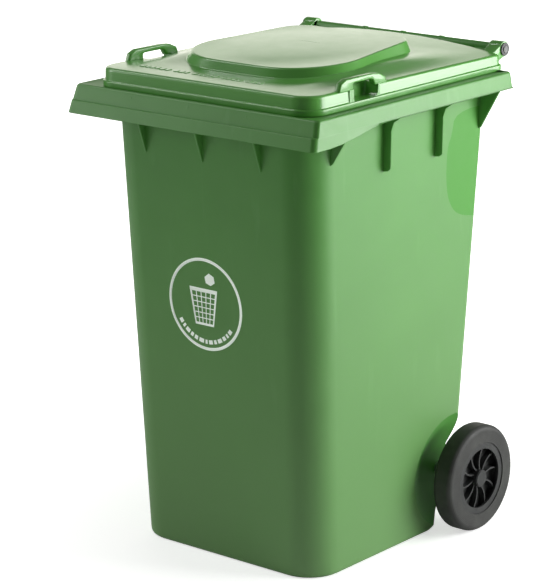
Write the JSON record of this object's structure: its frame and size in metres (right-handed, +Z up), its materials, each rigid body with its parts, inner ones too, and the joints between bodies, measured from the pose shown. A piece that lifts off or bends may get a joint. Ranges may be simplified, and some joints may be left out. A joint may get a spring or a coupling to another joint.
{
  "type": "litter bin",
  "caption": "Two-wheeled plastic litter bin: tapered ribbed tub with a flared collar, hinged lid with side grips, rear handle bar and spoked wheels.",
  "frame": {"origin": "on the ground under the centre of the whole bin's plan", "axes": "+X to the right seen from the front, +Y from the front towards the handle, +Z up"},
  "size_m": [0.667, 0.74, 1.078],
  "materials": {
    "body_green": "fine moulded grain",
    "lid_green": "smooth satin",
    "emblem_white": "thin printed foil",
    "pin_black": "satin",
    "plug_grey": "satin",
    "wheel_plastic": "satin",
    "bush_plastic": "smooth",
    "tyre_rubber": "smooth solid rubber",
    "steel": "zinc plated"
  },
  "bodies": {
    "bin": {"container": "body_green", "front_emblem": "emblem_white", "axle": "steel", "hinge_pin_left": "pin_black", "hinge_plug_left": "plug_grey", "spacer_left": "steel", "washer_left": "steel", "retaining_ring_left": "steel", "hinge_pin_right": "pin_black", "hinge_plug_right": "plug_grey", "spacer_right": "steel", "washer_right": "steel", "retaining_ring_right": "steel"},
    "lid": {"lid": "lid_green"},
    "wheel_left": {"wheel_centre_left": "wheel_plastic", "tyre_left": "tyre_rubber", "hub_bush_left": "bush_plastic", "hub_cap_left": "wheel_plastic"},
    "wheel_right": {"wheel_centre_right": "wheel_plastic", "tyre_right": "tyre_rubber", "hub_bush_right": "bush_plastic", "hub_cap_right": "wheel_plastic"}
  },
  "joints": [
    {"name": "lid_hinge", "type": "hinge", "parent": "bin", "child": "lid", "pos_m": [0, 0.353, 1.035], "axis": [-1, 0, 0], "range_deg": [0, 270]},
    {"name": "wheel_left_spin", "type": "hinge", "parent": "bin", "child": "wheel_left", "pos_m": [-0.308, 0.2022, 0.118], "axis": [1, 0, 0], "continuous": true},
    {"name": "wheel_right_spin", "type": "hinge", "parent": "bin", "child": "wheel_right", "pos_m": [0.308, 0.2022, 0.118], "axis": [1, 0, 0], "continuous": true}
  ]
}
